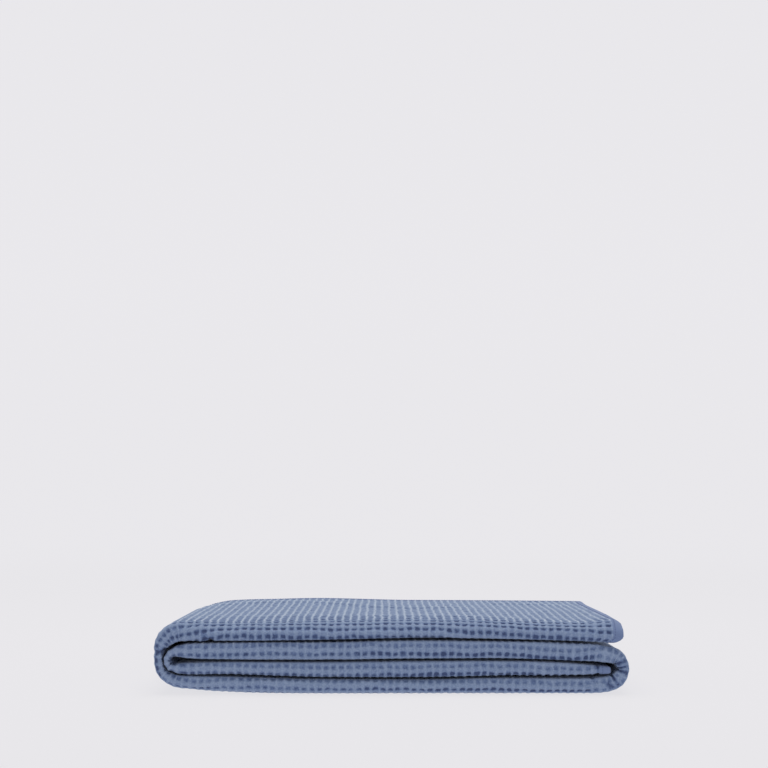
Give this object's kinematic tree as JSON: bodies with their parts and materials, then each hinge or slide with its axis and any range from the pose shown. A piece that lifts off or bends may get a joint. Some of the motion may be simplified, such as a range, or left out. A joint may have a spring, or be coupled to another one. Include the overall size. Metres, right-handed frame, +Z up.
{
  "type": "folded waffle weave cotton blanket",
  "caption": "Blue waffle weave cotton blanket with plain hems, folded into a flat pile with one long rounded fold facing the front, for a shelf, bed end or basket.",
  "frame": {"origin": "centre of the folded pile's outline, on the surface it lies on", "axes": "+X to the right along the long front fold, +Y from the front fold to the back, +Z up"},
  "size_m": [0.4827, 0.3788, 0.0757],
  "materials": {
    "cotton": "matte blue waffle weave cotton"
  },
  "bodies": {
    "root": {"blanket": "cotton"}
  },
  "joints": []
}
